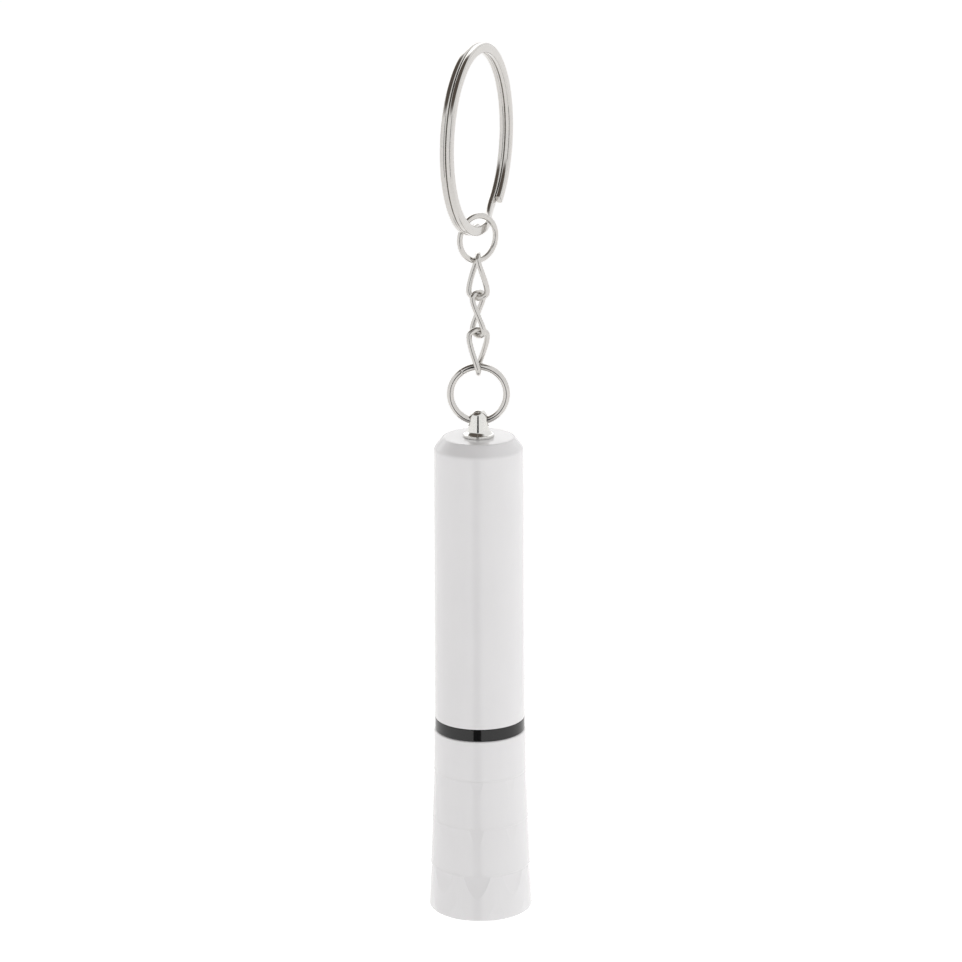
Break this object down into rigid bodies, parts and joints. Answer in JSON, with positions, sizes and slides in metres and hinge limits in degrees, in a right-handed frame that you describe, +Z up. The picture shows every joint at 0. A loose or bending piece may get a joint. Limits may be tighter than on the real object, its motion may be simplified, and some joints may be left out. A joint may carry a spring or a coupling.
{
  "type": "keychain flashlight",
  "caption": "Small white twist flashlight hanging lens end down from a twisted-link key chain and a double-coil split ring.",
  "frame": {"origin": "highest point inside the split ring, where it hangs on a hook, nail or finger", "axes": "+Z up; the object hangs down the Z axis with its lens end lowest; the split ring lies in the YZ plane, X is the split ring's axis"},
  "size_m": [0.0166, 0.03, 0.1417],
  "materials": {
    "chrome_plate": "polished",
    "white_plastic": "gloss",
    "black_plastic": "gloss",
    "nickel_contact": "satin",
    "cell_seal": "matte",
    "cell_jacket": "gloss",
    "circuit_board": "satin",
    "copper": "satin",
    "ferrite": "matte",
    "chip_epoxy": "matte",
    "led_epoxy": "clear",
    "led_lead": "satin",
    "mirror_coat": "metallised",
    "clear_lens": "clear",
    "bezel_plastic": "gloss"
  },
  "bodies": {
    "split_ring": {"split_ring": "chrome_plate"},
    "connecting_ring": {"connecting_ring": "chrome_plate"},
    "chain_link_top": {"chain_link_top": "chrome_plate"},
    "chain_link_middle": {"chain_link_middle": "chrome_plate"},
    "chain_link_bottom": {"chain_link_bottom": "chrome_plate"},
    "jump_ring": {"jump_ring": "chrome_plate"},
    "tail_stud": {"tail_stud": "chrome_plate", "stud_washer": "nickel_contact"},
    "barrel": {"barrel": "white_plastic", "contact_strip": "nickel_contact", "tail_spring": "nickel_contact", "cell_can": "nickel_contact", "cell_seal": "cell_seal", "cell_positive_cap": "nickel_contact", "cell_jacket": "cell_jacket", "accent_ring": "black_plastic"},
    "head": {"head_shell": "white_plastic", "driver_board": "circuit_board", "board_contact_ring": "copper", "board_contact_spring": "nickel_contact", "inductor": "ferrite", "converter_chip": "chip_epoxy", "led_body": "led_epoxy", "led_leads": "led_lead", "reflector": "mirror_coat", "lens": "clear_lens", "bezel_ring": "bezel_plastic"}
  },
  "joints": [
    {"name": "ring_slide", "type": "hinge", "parent": "split_ring", "child": "connecting_ring", "pos_m": [0, 0, -0.01345], "axis": [1, 0, 0], "continuous": true},
    {"name": "link_top_swing", "type": "hinge", "parent": "connecting_ring", "child": "chain_link_top", "pos_m": [0, 0, -0.0326], "axis": [0.5446, 0.8387, 0], "range_deg": [-45, 45]},
    {"name": "link_middle_swing", "type": "hinge", "parent": "chain_link_top", "child": "chain_link_middle", "pos_m": [0, 0, -0.03865], "axis": [-0.9877, -0.1564, 0], "range_deg": [-45, 45]},
    {"name": "link_bottom_swing", "type": "hinge", "parent": "chain_link_middle", "child": "chain_link_bottom", "pos_m": [0, 0, -0.0447], "axis": [0.8572, -0.515, 0], "range_deg": [-45, 45]},
    {"name": "jump_ring_swing", "type": "hinge", "parent": "chain_link_bottom", "child": "jump_ring", "pos_m": [0, 0, -0.05075], "axis": [-0.3256, 0.9455, 0], "range_deg": [-50, 50]},
    {"name": "stud_swing", "type": "hinge", "parent": "jump_ring", "child": "tail_stud", "pos_m": [0, 0, -0.0586], "axis": [0.9455, 0.3256, 0], "range_deg": [-90, 90]},
    {"name": "barrel_swivel", "type": "hinge", "parent": "tail_stud", "child": "barrel", "pos_m": [0, 0, -0.06108], "axis": [0, 0, 1], "continuous": true},
    {"name": "head_twist", "type": "hinge", "parent": "barrel", "child": "head", "pos_m": [0, 0, -0.10983], "axis": [0, 0, 1], "range_deg": [0, 90]}
  ]
}
